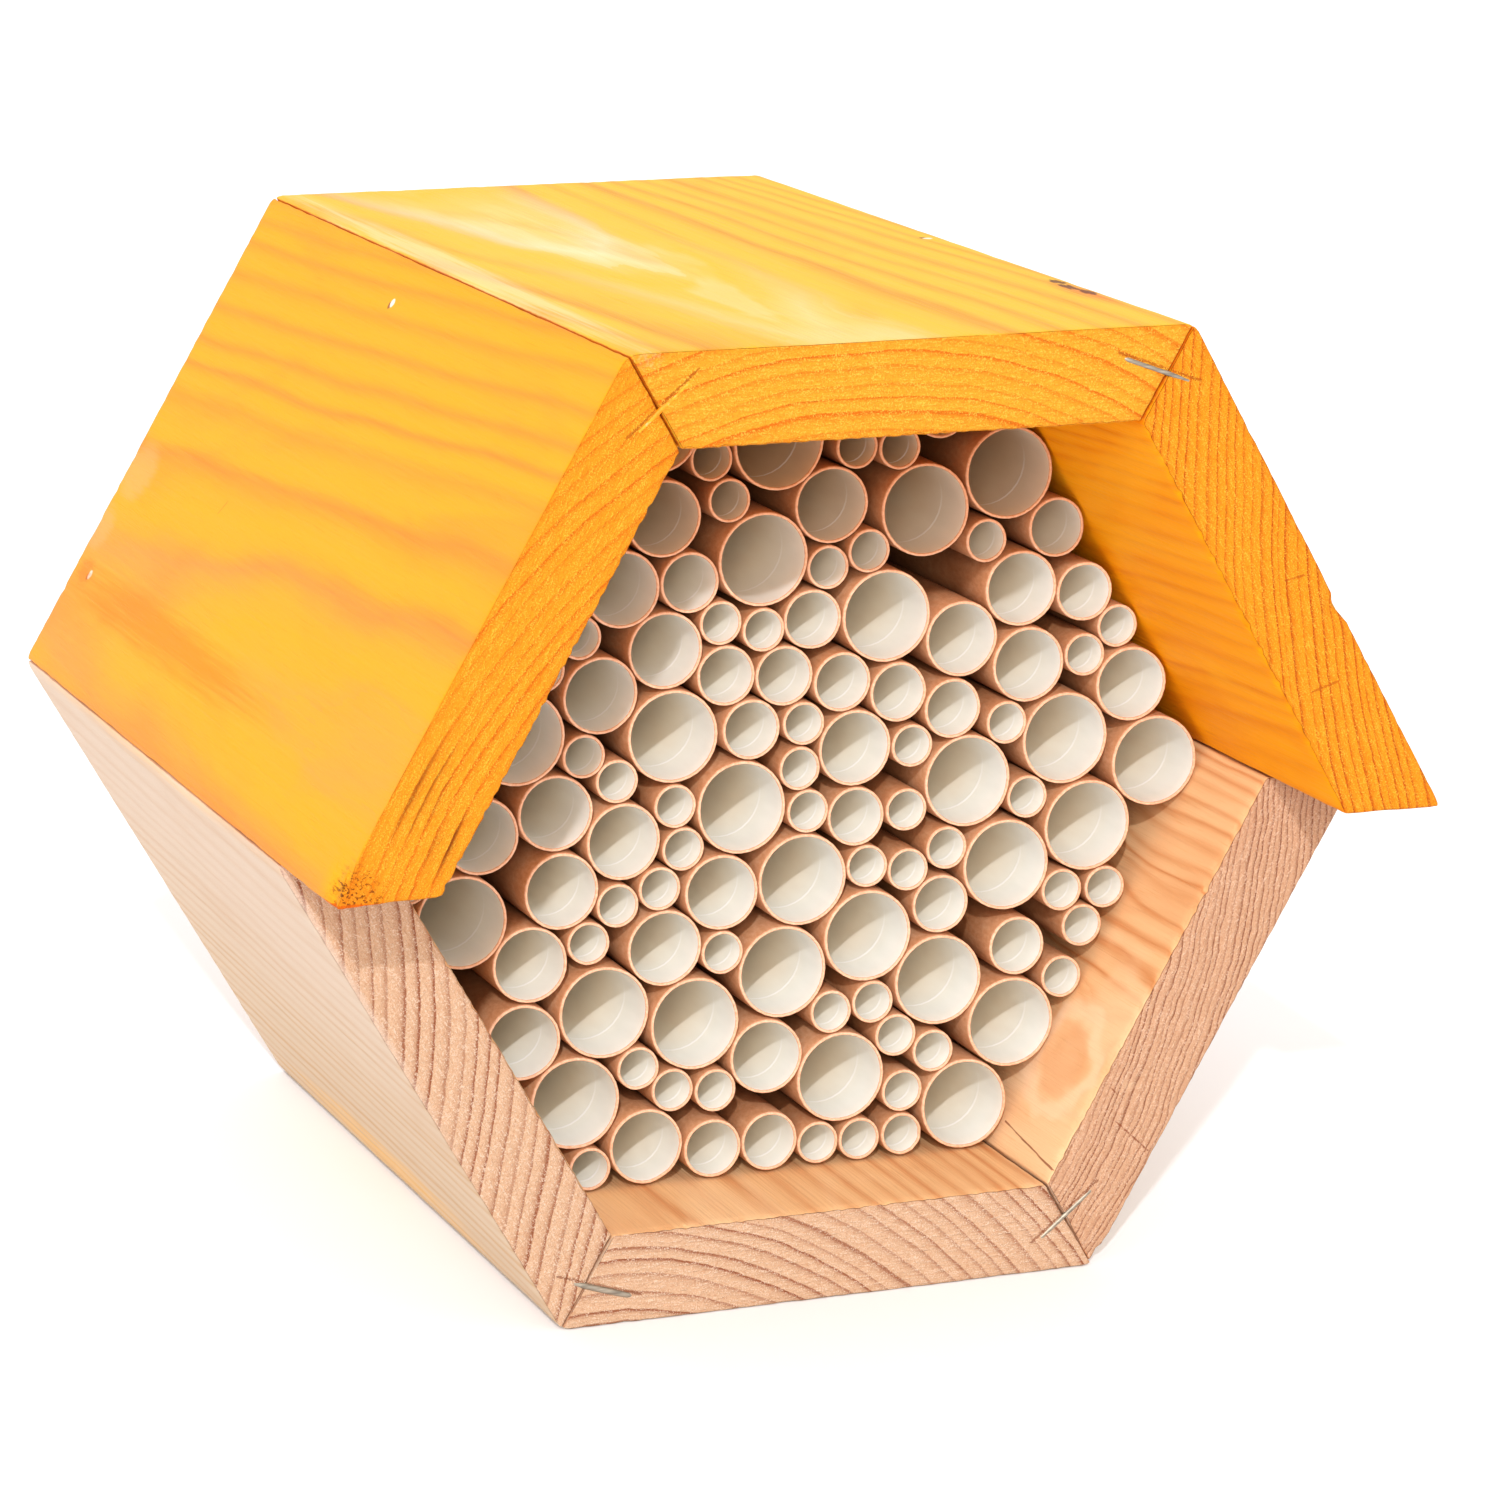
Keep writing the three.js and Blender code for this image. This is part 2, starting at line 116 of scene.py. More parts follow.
class Shader:
    """A small wrapper that adds nodes to one material and links them."""

    def __init__(self, name):
        self.material = bpy.data.materials.new(name)
        self.material.use_nodes = True
        self.nodes = self.material.node_tree.nodes
        self.links = self.material.node_tree.links
        self.nodes.clear()

    def plug(self, socket, value):
        if isinstance(value, bpy.types.NodeSocket):
            self.links.new(value, socket)
        elif value is not None:
            if hasattr(socket.default_value, "__len__") and not isinstance(value, (int, float)):
                value = tuple(value)
                if len(socket.default_value) == 4 and len(value) == 3:
                    value = value + (1.0,)
            socket.default_value = value

    def math(self, operation, a, b=None, clamp=False):
        node = self.nodes.new("ShaderNodeMath")
        node.operation = operation
        node.use_clamp = clamp
        for socket, value in zip(node.inputs, (a, b)):
            self.plug(socket, value)
        return node.outputs[0]

    def vector(self, operation, a, b=None, scale=None):
        node = self.nodes.new("ShaderNodeVectorMath")
        node.operation = operation
        self.plug(node.inputs[0], a)
        self.plug(node.inputs[1], b)
        if scale is not None:
            self.plug(node.inputs["Scale"], scale)
        return node.outputs["Value" if operation in ("LENGTH", "DOT_PRODUCT", "DISTANCE") else "Vector"]

    def split(self, vector):
        node = self.nodes.new("ShaderNodeSeparateXYZ")
        self.plug(node.inputs[0], vector)
        return node.outputs

    def join(self, x, y, z):
        node = self.nodes.new("ShaderNodeCombineXYZ")
        for socket, value in zip(node.inputs, (x, y, z)):
            self.plug(socket, value)
        return node.outputs[0]

    def noise(self, vector, scale=1.0, detail=2.0, roughness=0.5, distortion=0.0, color=False):
        node = self.nodes.new("ShaderNodeTexNoise")
        self.plug(node.inputs["Vector"], vector)
        node.inputs["Scale"].default_value = scale
        node.inputs["Detail"].default_value = detail
        node.inputs["Roughness"].default_value = roughness
        node.inputs["Distortion"].default_value = distortion
        return node.outputs["Color" if color else "Fac"]

    def ramp(self, value, stops):
        node = self.nodes.new("ShaderNodeValToRGB")
        self.plug(node.inputs[0], value)
        band = node.color_ramp
        while len(band.elements) < len(stops):
            band.elements.new(0.5)
        for element, (position, color) in zip(band.elements, stops):
            element.position = position
            if isinstance(color, (int, float)):
                color = (color, color, color)
            element.color = (*color, 1.0)
        return node.outputs[0]

    def step(self, value, low, high):
        node = self.nodes.new("ShaderNodeMapRange")
        node.interpolation_type = "SMOOTHSTEP"
        self.plug(node.inputs["Value"], value)
        node.inputs["From Min"].default_value = low
        node.inputs["From Max"].default_value = high
        return node.outputs["Result"]

    def mix(self, factor, a, b, blend="MIX"):
        node = self.nodes.new("ShaderNodeMix")
        node.data_type = "RGBA"
        node.blend_type = blend
        self.plug(node.inputs[0], factor)
        self.plug(node.inputs[6], a)
        self.plug(node.inputs[7], b)
        return node.outputs[2]

    def bump(self, height, distance, strength=1.0):
        node = self.nodes.new("ShaderNodeBump")
        node.inputs["Strength"].default_value = strength
        node.inputs["Distance"].default_value = distance
        self.plug(node.inputs["Height"], height)
        return node.outputs[0]

    def millimetres(self):
        """Object position in millimetres from the middle of the hexagon."""
        node = self.nodes.new("ShaderNodeTexCoord")
        scaled = self.vector("SCALE", node.outputs["Object"], scale=1 / MM)
        return self.vector("SUBTRACT", scaled, (0, 0, MIDDLE / MM))

    def normal(self):
        node = self.nodes.new("ShaderNodeTexCoord")
        return node.outputs["Normal"]

    def attribute(self, name):
        node = self.nodes.new("ShaderNodeAttribute")
        node.attribute_name = name
        return node.outputs["Fac"]

    def finish(self, **inputs):
        output = self.nodes.new("ShaderNodeOutputMaterial")
        shader = self.nodes.new("ShaderNodeBsdfPrincipled")
        names = {
            "color": "Base Color", "roughness": "Roughness", "metallic": "Metallic",
            "normal": "Normal", "specular": "Specular IOR Level",
        }
        for key, value in inputs.items():
            self.plug(shader.inputs[names[key]], value)
        self.links.new(shader.outputs[0], output.inputs[0])
        return self.material


def srgb(r, g, b):
    """Display values from 0 to 255 as linear light."""
    def one(v):
        v /= 255
        return v / 12.92 if v <= 0.04045 else ((v + 0.055) / 1.055) ** 2.4
    return (one(r), one(g), one(b))


# ---------------------------------------------------------------- wood

# Places of the boards' faces and front ends in the boards' own frame, in millimetres.
OUTER_MM = MIDDLE / MM
INNER_MM = INNER / MM
ROOF_FRONT_MM = ROOF_FRONT / MM
WALL_FRONT_MM = WALL_FRONT / MM
KNOT_PLACE = 14.3               # the right wall board's knot, along the board from its middle

# Each board is cut from its own place in a log, in the board's own frame in millimetres: along the board
# from its middle, and outward from the middle of the hexagon. pith is the log's heart, lean is how far it
# moves per millimetre of depth, ring is the mean ring width, and wobble, quick and ripple are how far the
# rings wander over long, short and middling distances. A hump is a knot's swirl that the rings run round.
LOGS = {
    "roof_board_top": dict(
        pith=(-11, -4), lean=(-0.08, 0.018), ring=1.75, wobble=0.7, quick=0.14, seed=1, ripple=0.5,
    ),
    "roof_board_right": dict(pith=(60, 190), lean=(0.03, 0.02), ring=1.15, wobble=0.7, quick=0.16, seed=2),
    "wall_board_right": dict(
        pith=(25, -40), lean=(0.02, 0.03), ring=0.78, wobble=1.5, quick=0.32, seed=3, ripple=0.3,
        hump=((KNOT_PLACE, INNER_MM, WALL_FRONT_MM + 10), (6.0, 9.0, 9.0), 2.6),
    ),
    "floor_board": dict(pith=(28, 102), lean=(-0.03, 0.02), ring=1.7, wobble=0.8, quick=0.25, seed=4),
    "wall_board_left": dict(pith=(65, 147), lean=(0.03, 0.02), ring=1.75, wobble=0.7, quick=0.22, seed=5),
    "roof_board_left": dict(
        pith=(-21, -33), lean=(-0.04, -0.006), ring=1.75, wobble=0.55, quick=0.2, seed=6,
    ),
}

# Colours of each kind of surface: spring wood, summer wood, and the pale flame where the cut runs along
# a ring. On a sawn end the third colour is the torn fibres instead.
BARE = dict(
    face=(srgb(206, 186, 162), srgb(194, 158, 118), srgb(212, 196, 176)),
    inside=(srgb(226, 186, 138), srgb(196, 130, 78), srgb(234, 202, 160)),
    end=(srgb(198, 163, 134), srgb(132, 73, 45), srgb(222, 200, 180)),
)
DARK_END = dict(
    BARE, inside=(srgb(234, 193, 145), srgb(203, 136, 82), srgb(240, 208, 168)),
    end=(srgb(194, 153, 123), srgb(114, 60, 36), srgb(216, 184, 160)),
)
STAIN = dict(
    face=(srgb(222, 158, 22), srgb(212, 126, 42), srgb(218, 144, 66)),
    inside=(srgb(249, 165, 13), srgb(231, 137, 8), srgb(250, 178, 32)),
    end=(srgb(219, 136, 23), srgb(172, 68, 5), srgb(228, 178, 60)),
)
SUNNY = dict(
    STAIN, face=(srgb(220, 182, 48), srgb(208, 142, 44), srgb(226, 216, 172)),
    end=(srgb(220, 148, 38), srgb(200, 100, 14), srgb(230, 186, 72)),
)
FADED = dict(STAIN, end=(srgb(218, 138, 26), srgb(198, 100, 12), srgb(228, 180, 60)))
TONES = {
    "roof_board_top": SUNNY, "roof_board_right": STAIN, "roof_board_left": FADED,
    "wall_board_right": DARK_END, "floor_board": BARE, "wall_board_left": BARE,
}


def board_axes(index):
    """Outward and along directions of a board. Boards go clockwise from the top one."""
    angle = math.radians(90 - 60 * index)
    return Vector((math.cos(angle), 0, math.sin(angle))), Vector((math.sin(angle), 0, -math.cos(angle)))


def board_frame(s, board):
    """Shader position in the board's own frame: along, outward, depth, in millimetres."""
    out, along = board_axes(BOARDS.index(board))
    p = s.millimetres()
    return s.join(
        s.vector("DOT_PRODUCT", p, tuple(along)),
        s.vector("DOT_PRODUCT", p, tuple(out)),
        s.split(p)[1],
    )


def wander(s, p, stretch, size):
    """A noise vector in the cross-section that changes slowly along the grain."""
    value = s.noise(s.vector("MULTIPLY", p, stretch), detail=2.0, color=True)
    return s.vector("SCALE", s.vector("SUBTRACT", value, (0.5, 0.5, 0.5)), scale=2.0 * size)


def from_pith(s, value, depth, log, axis):
    """How far a point lies from the log's leaning heart, in one direction."""
    heart = s.math("ADD", s.math("MULTIPLY", depth, log["lean"][axis]), log["pith"][axis])
    return s.math("SUBTRACT", value, heart)


def ring_pattern(s, p, log):
    """Growth rings round a leaning, wandering pith.

    Gives the sharp summer-wood line of a sawn end, its softer band on a long face, and how flat the cut
    lies in the rings.
    """
    seeded = s.vector("ADD", p, (0, 0, log["seed"] * 531.0))
    slow = wander(s, seeded, (0.03, 0.03, 0.011), log["wobble"] * 2)
    quick = wander(s, seeded, (0.30, 0.30, 0.035), log["quick"])
    tiny = wander(s, seeded, (1.6, 1.6, 0.06), 0.07)
    moved = s.vector("ADD", s.vector("ADD", p, slow), s.vector("ADD", quick, tiny))
    if "ripple" in log:
        moved = s.vector("ADD", moved, wander(s, seeded, (0.12, 0.12, 0.014), log["ripple"]))
    along, out, depth = s.split(moved)
    along = from_pith(s, along, depth, log, 0)
    out = from_pith(s, out, depth, log, 1)
    radius = s.vector("LENGTH", s.join(along, out, 0.0))
    count = s.math("DIVIDE", radius, log["ring"])
    uneven = s.noise(s.join(s.math("MULTIPLY", count, 0.37), log["seed"] * 7.3, 0.0), detail=1.0)
    count = s.math("ADD", count, s.math("MULTIPLY", uneven, 1.5))
    if "hump" in log:
        centre, size, rise = log["hump"]
        swell = s.vector("LENGTH", s.vector("DIVIDE", s.vector("SUBTRACT", p, centre), size))
        swell = s.math("EXPONENT", s.math("MULTIPLY", s.math("MULTIPLY", swell, swell), -1.0))
        count = s.math("ADD", count, s.math("MULTIPLY", swell, rise))
    part = s.math("FRACT", count)
    late = s.ramp(part, [(0.0, 0.0), (0.45, 0.05), (0.72, 0.35), (0.88, 1.0), (0.95, 0.9), (1.0, 0.0)])
    each = s.noise(s.join(s.math("FLOOR", count), log["seed"] * 3.1, 0.5), scale=3.7, detail=0.0)
    strength = s.math("ADD", 0.5, s.math("MULTIPLY", s.step(each, 0.3, 0.7), 0.5))
    late = s.math("MULTIPLY", late, strength)
    band = s.ramp(part, [(0.0, 0.45), (0.12, 0.1), (0.3, 0.0), (0.55, 0.2), (0.85, 1.0), (1.0, 0.45)])
    band = s.math("MULTIPLY", band, strength)
    flat = s.math("SUBTRACT", 1.0, s.step(s.math("ABSOLUTE", s.math("DIVIDE", along, out)), 0.04, 0.26))
    return late, band, flat


def tone(s, colors, late, flat):
    """Spring wood to summer wood, which turns to the pale flame where the cut lies flat."""
    summer = s.mix(flat, colors[1], colors[2])
    return s.mix(late, colors[0], summer)


def dab(s, color, mask, strength, paint):
    """Lays a colour over another where a mask says, at part of its strength."""
    return s.mix(s.math("MULTIPLY", mask, strength), color, paint)


def long_face(s, p, tones, band, flat):
    """Colour of a board's long faces, outside and inside."""
    hair = s.noise(s.vector("MULTIPLY", p, (6.0, 6.0, 0.16)), detail=2.0)
    cloud = s.noise(s.vector("MULTIPLY", p, (0.07, 0.07, 0.022)), detail=3.0, distortion=0.8)
    face = tone(s, tones["face"], band, flat)
    bloom = s.math("MULTIPLY", s.step(cloud, 0.58, 0.7), s.math("MULTIPLY", flat, 0.3))
    face = s.mix(bloom, face, tones["face"][2])
    deep = s.step(s.math("SUBTRACT", 1.0, cloud), 0.5, 0.75)
    face = s.mix(s.math("MULTIPLY", deep, 0.35), face, tones["face"][1])
    inner = tone(s, tones["inside"], band, s.math("MULTIPLY", flat, 0.5))
    inner = s.mix(s.math("MULTIPLY", deep, 0.55), inner, tones["inside"][1])
    pale = s.math("MULTIPLY", s.step(cloud, 0.5, 0.66), 0.6)
    inner = s.mix(pale, inner, tones["inside"][2])
    face = s.mix(s.attribute("inside"), face, inner)
    return s.mix(s.step(hair, 0.6, 0.8), face, s.mix(1.0, face, (0.93, 0.88, 0.8), "MULTIPLY"))


def sawn_end(s, tones, late, pores, grit, saw):
    """Colour of a board's sawn ends: growth rings, open pores and torn fibres."""
    sawn = tone(s, tones["end"], late, 0.0)
    speckle = s.step(pores, 0.5, 0.66)
    sawn = s.mix(s.math("MULTIPLY", speckle, 0.6), sawn, s.mix(1.0, sawn, (0.84, 0.72, 0.62), "MULTIPLY"))
    fluff = s.step(s.math("ADD", s.math("MULTIPLY", grit, 0.7), s.math("MULTIPLY", saw, 0.3)), 0.5, 0.62)
    return s.mix(s.math("MULTIPLY", fluff, 0.7), sawn, tones["end"][2])


def wood_material(board):
    log = LOGS[board]
    painted = board in PAINTED
    tones = TONES[board]
    s = Shader("wood_" + board)
    here = board_frame(s, board)
    p = s.vector("ADD", here, (0, 0, log["seed"] * 211.0))
    late, band, flat = ring_pattern(s, here, log)
    fibre = s.noise(s.vector("MULTIPLY", p, (2.2, 2.2, 0.06)), detail=3.0, roughness=0.6)
    pores = s.noise(s.vector("MULTIPLY", p, (2.4, 2.4, 0.6)), detail=2.0, roughness=0.7)
    grit = s.noise(s.vector("MULTIPLY", p, (5.5, 5.5, 1.5)), detail=2.0, roughness=0.7)
    saw = s.noise(s.vector("MULTIPLY", p, (0.5, 3.2, 0.3)), detail=2.0, roughness=0.65)
    band = s.math("MULTIPLY", band, s.math("ADD", 0.6, s.math("MULTIPLY", fibre, 0.6)), clamp=True)
    end = s.step(s.math("ABSOLUTE", s.split(s.normal())[1]), 0.55, 0.8)
    edge = s.attribute("edge")

    face = long_face(s, p, tones, band, flat)
    color = s.mix(end, face, sawn_end(s, tones, late, pores, grit, saw))
    worn = s.mix(1.0, color, (0.97, 0.86, 0.74) if painted else (0.98, 0.95, 0.92), "MULTIPLY")
    color = s.mix(s.math("MULTIPLY", edge, s.math("MULTIPLY", grit, 1.3)), color, worn)
    if board in MARKS:
        color = MARKS[board](s, here, color, dict(pores=pores, fibre=fibre, late=late))
    color = darken_joints(s, painted, here, color, pores)
    color = add_slits(s, board, here, color, grit)

    smooth_face = s.math("ADD", s.math("MULTIPLY", fibre, 0.45), s.math("MULTIPLY", band, 0.12))
    sawn_face = s.math("ADD", s.math("MULTIPLY", grit, 0.7), s.math("MULTIPLY", saw, 0.7))
    sawn_face = s.math("ADD", sawn_face, s.math("MULTIPLY", pores, 0.5))
    height = s.math("ADD", smooth_face, s.math("MULTIPLY", end, s.math("SUBTRACT", sawn_face, smooth_face)))
    roughness = s.math("ADD", s.math("MULTIPLY", fibre, 0.2), 0.42 if painted else 0.55)
    roughness = s.math("ADD", roughness, s.math("MULTIPLY", end, 0.2), clamp=True)
    return s.finish(
        color=color, roughness=roughness, specular=0.1 if painted else 0.15,
        normal=s.bump(height, 0.45 * MM, 0.9),
    )


def darken_joints(s, painted, here, color, pores):
    """The thin dark line where two boards meet, a little wider where fibres tore off."""
    along, out, _ = s.split(here)
    away = s.math("SUBTRACT", s.math("MULTIPLY", out, SLOPE), s.math("ABSOLUTE", along))
    away = s.math("ADD", away, s.math("MULTIPLY", s.math("SUBTRACT", 0.5, pores), 0.2))
    line = s.math("SUBTRACT", 1.0, s.step(away, 0.1, 0.24))
    if painted:
        return dab(s, color, line, 0.8, srgb(196, 84, 8))
    return dab(s, color, line, 0.6, srgb(164, 98, 58))


def blotch(s, here, centre, size, breakup, low=0.35, high=0.75):
    """A soft spot at a place in the board's frame, with an uneven edge."""
    offset = s.vector("SUBTRACT", here, centre)
    offset = s.vector("DIVIDE", offset, size)
    near = s.math("SUBTRACT", 1.0, s.vector("LENGTH", offset), clamp=True)
    return s.step(s.math("MULTIPLY", near, s.math("MULTIPLY", breakup, 2.0)), low, high)


def crack(s, here, start, finish, width, wobble):
    """A hairline between two places in the board's frame."""
    start, finish = Vector(start), Vector(finish)
    run = finish - start
    offset = s.vector("SUBTRACT", here, tuple(start))
    along = s.math("DIVIDE", s.vector("DOT_PRODUCT", offset, tuple(run)), run.length_squared, clamp=True)
    nearest = s.vector("SCALE", tuple(run), scale=along)
    distance = s.vector("DISTANCE", offset, nearest)
    distance = s.math("ADD", distance, s.math("MULTIPLY", s.math("SUBTRACT", wobble, 0.5), width * 2.5))
    return s.math("SUBTRACT", 1.0, s.step(distance, width * 0.4, width))


def crown_line(node):
    """Middle, direction and half length of a staple's crown, in the plane of the front ends."""
    points = np.array([(v.co.x, v.co.z) for v in frame["nodes"][node].data.vertices])
    middle = (points.min(0) + points.max(0)) / 2
    _, _, axes = np.linalg.svd(points - points.mean(0), full_matrices=False)
    run = axes[0] if axes[0][0] > 0 else -axes[0]
    half = np.abs((points - middle) @ run).max()
    return Vector((middle[0], 0, middle[1])), Vector((run[0], 0, run[1])), float(half)


def add_slits(s, board, here, color, grit):
    """The dark slits beside the staples, where the crowns were driven below the end grain."""
    out, along = board_axes(BOARDS.index(board))
    front = ROOF_FRONT_MM if board in PAINTED else WALL_FRONT_MM
    dark = srgb(150, 70, 10) if board in PAINTED else srgb(120, 70, 46)
    for node in FRONT_STAPLES:
        if (node in ("staple_roof_left", "staple_roof_right")) != (board in PAINTED):
            continue
        middle, run, half = crown_line(node)
        side = Vector((-run.z, 0, run.x)) * 0.45 * MM
        ends = []
        for sign in (-1.0, 1.0):
            spot = (middle + run * half * sign + side - Vector((0, 0, MIDDLE))) / MM
            ends.append((spot.dot(along), spot.dot(out), front))
        line = crack(s, here, ends[0], ends[1], 0.24, grit)
        color = s.mix(s.math("MULTIPLY", line, 0.7), color, dark)
    return color


def pinhole(s, here, centre, color, pores):
    """A bare, pale spot where a brad was set, with the hole showing at its rear side."""
    rough = s.math("MULTIPLY", pores, 0.3)
    spot = s.math("ADD", s.vector("DISTANCE", here, centre), rough)
    beside = (centre[0] - 0.4, centre[1], centre[2] + 0.55)
    hole = s.math("ADD", s.vector("DISTANCE", here, beside), rough)
    color = s.mix(s.math("SUBTRACT", 1.0, s.step(hole, 0.5, 0.75)), color, srgb(150, 92, 40))
    return s.mix(s.math("SUBTRACT", 1.0, s.step(spot, 0.6, 0.85)), color, srgb(232, 224, 208))


def swirl(s, here, centre, size, color, fibre):
    """The grain round a knot just below the surface: an orange heart inside a pale ring."""
    offset = s.vector("DIVIDE", s.vector("SUBTRACT", here, centre), size)
    uneven = s.noise(s.vector("MULTIPLY", here, (0.22, 0.22, 0.16)), detail=1.0)
    reach = s.math("ADD", s.vector("LENGTH", offset), s.math("SUBTRACT", uneven, 0.5))
    ring = s.math("SUBTRACT", 1.0, s.step(s.math("ABSOLUTE", s.math("SUBTRACT", reach, 1.0)), 0.08, 0.36))
    heart = s.math("SUBTRACT", 1.0, s.step(reach, 0.45, 0.85))
    streaky = s.math("ADD", 0.45, s.math("MULTIPLY", fibre, 0.5))
    color = dab(s, color, heart, 0.4, srgb(214, 146, 92))
    return dab(s, color, ring, streaky, srgb(244, 214, 178))


def mark_roof_top(s, here, color, grain):
    """A pale streak beside the left joint, a knot at the right edge and a brad's spot."""
    knot = (31.6, OUTER_MM, ROOF_FRONT_MM + 27)
    streak = blotch(s, here, (-31.5, OUTER_MM, 0), (4.5, 5, 110), grain["fibre"], 0.25, 0.8)
    color = dab(s, color, streak, 0.5, srgb(226, 216, 172))
    halo = blotch(s, here, (knot[0], knot[1], knot[2] - 3), (3.2, 4, 14), grain["fibre"], 0.1, 0.9)
    color = dab(s, color, halo, 0.8, srgb(214, 112, 50))
    for across, shift, size in ((0.3, -3.0, 3.4), (-0.2, 1.2, 4.2), (0.2, 5.0, 3.0)):
        spot = (knot[0] + across, knot[1], knot[2] + shift)
        fleck = blotch(s, here, spot, (1.2, 4, size), grain["pores"], 0.3, 0.55)
        color = dab(s, color, fleck, 0.9, srgb(98, 50, 22))
    return pinhole(s, here, (31.3, OUTER_MM, 4), color, grain["pores"])


def mark_roof_left(s, here, color, grain):
    """Two brads' spots, a chipped lower corner, dark rings, pale patches, a nick and an orange band."""
    color = pinhole(s, here, (28, OUTER_MM, 7), color, grain["pores"])
    color = pinhole(s, here, (-20, OUTER_MM, 58), color, grain["pores"])
    chip = blotch(s, here, (-33, OUTER_MM - 1.8, ROOF_FRONT_MM), (7, 6, 6), grain["fibre"], 0.15, 0.7)
    color = dab(s, color, chip, 0.45, srgb(200, 106, 10))
    flecks = s.math("MULTIPLY", chip, s.step(grain["pores"], 0.52, 0.6))
    color = dab(s, color, flecks, 0.85, srgb(96, 44, 8))
    for centre, size in (
        ((-18, OUTER_MM - 3.2, ROOF_FRONT_MM), (9, 3.2, 3)),
        ((-22, INNER_MM + 2.6, ROOF_FRONT_MM), (6, 2.2, 3)),
    ):
        streak = s.math("MULTIPLY", blotch(s, here, centre, size, 0.5, 0.05, 0.8), grain["late"])
        color = dab(s, color, streak, 0.95, srgb(104, 46, 4))
    for centre, size in (((-5.4, OUTER_MM, 60), (5.5, 5, 8)), ((-14, OUTER_MM, 63), (4.5, 5, 6))):
        patch = blotch(s, here, centre, size, grain["fibre"], 0.1, 0.55)
        color = dab(s, color, patch, 0.5, srgb(226, 162, 98))
    nick = crack(s, here, (-2.6, OUTER_MM, 25.2), (-4.6, OUTER_MM, 26.4), 0.16, grain["fibre"])
    color = dab(s, color, nick, 0.5, srgb(180, 92, 20))
    smudge = blotch(s, here, (-20, OUTER_MM, 60), (3.0, 4, 5), grain["pores"], 0.2, 0.7)
    color = dab(s, color, smudge, 0.35, srgb(170, 84, 20))
    low = blotch(s, here, (-21, OUTER_MM, 25), (5, 10, 62), grain["fibre"], 0.05, 0.8)
    return dab(s, color, low, 0.65, srgb(228, 120, 20))


def mark_roof_right(s, here, color, grain):
    """Two short cracks across the sawn end."""
    for start, low, high in ((12, 3.2, 6.6), (-1.5, 6.5, 8.8)):
        inner_end = (start, INNER_MM + low, ROOF_FRONT_MM)
        outer_end = (start + 0.8, INNER_MM + high, ROOF_FRONT_MM)
        line = crack(s, here, inner_end, outer_end, 0.2, grain["fibre"])
        color = dab(s, color, line, 0.6, srgb(160, 70, 6))
    return color


def mark_wall_left(s, here, color, grain):
    """Bleached near the roof, with drips of stain below the joint and along the lower edge."""
    along, out, _ = s.split(here)
    outside = s.step(out, OUTER_MM - 1.2, OUTER_MM - 0.4)
    bleached = s.math("MULTIPLY", s.step(along, -22.0, 22.0), outside)
    color = dab(s, color, bleached, 0.5, srgb(212, 194, 180))
    drip = blotch(s, here, (34, OUTER_MM, 10), (4.5, 6, 95), grain["fibre"], 0.3, 0.9)
    color = dab(s, color, drip, 0.25, srgb(244, 190, 96))
    low = blotch(s, here, (-30, OUTER_MM, 15), (8, 6, 80), grain["fibre"], 0.4, 0.9)
    return dab(s, color, low, 0.5, srgb(238, 186, 96))


def mark_wall_right(s, here, color, grain):
    """A knot's swirl on the inner face and hairline cracks."""
    knot = (KNOT_PLACE, INNER_MM, WALL_FRONT_MM + 10.5)
    color = swirl(s, here, knot, (6.0, 6.0, 7.6), color, grain["fibre"])
    for start, finish in (
        ((17.2, INNER_MM + 4.2, WALL_FRONT_MM), (18.6, OUTER_MM - 0.8, WALL_FRONT_MM)),
        ((13.6, INNER_MM + 0.4, WALL_FRONT_MM), (14.2, INNER_MM + 2.6, WALL_FRONT_MM)),
        ((25.9, INNER_MM, WALL_FRONT_MM), (24.2, INNER_MM, WALL_FRONT_MM + 16)),
    ):
        line = crack(s, here, start, finish, 0.15, grain["fibre"])
        color = dab(s, color, line, 0.8, srgb(124, 64, 38))
    return color


MARKS = {
    "roof_board_top": mark_roof_top,
    "roof_board_left": mark_roof_left,
    "roof_board_right": mark_roof_right,
    "wall_board_left": mark_wall_left,
    "wall_board_right": mark_wall_right,
}


# ---------------------------------------------------------------- boards

def spaced(length, fine, coarse):
    """Places from 0 to length: fine steps at both ends that grow to coarse ones in the middle."""
    steps = [0.0]
    step = fine
    while steps[-1] + step < length / 2:
        steps.append(steps[-1] + step)
        step = min(coarse, step * 1.35)
    return steps + [length - v for v in reversed(steps)]


def board_point(index, s, h, y):
    """A place in a board's frame (along, outward, depth) as a point in the object's frame."""
    out, along = board_axes(index)
    return Vector((0, y, MIDDLE)) + out * h + along * s


def mitre_gap(v, from_end):
    """Half the open joint: as in the CAD model at the surfaces, and filled with glue below them."""
    below = min(v * THICKNESS, (1 - v) * THICKNESS, from_end)
    return MITRE_GAP * max(0.06, math.exp(-below / (0.7 * MM)))


def section_point(u, v, gap):
    """A place in a board's cross-section, u from -1 to 1 along it and v from 0 inside to 1 outside."""
    tangent = (MIDDLE - CORNER_RADIUS) * SLOPE
    h = INNER + v * THICKNESS
    s = 0.0
    for _ in range(3):
        s = u * (h * SLOPE - gap)
        past = max(0.0, abs(s) - tangent)
        top = MIDDLE - CORNER_RADIUS + math.sqrt(max(0.0, CORNER_RADIUS ** 2 - past ** 2))
        h = INNER + v * (top - INNER)
    return s, h


def grid_faces(rows, columns, key):
    return [
        (key(i, j), key(i + 1, j), key(i + 1, j + 1), key(i, j + 1))
        for i in range(rows) for j in range(columns)
    ]


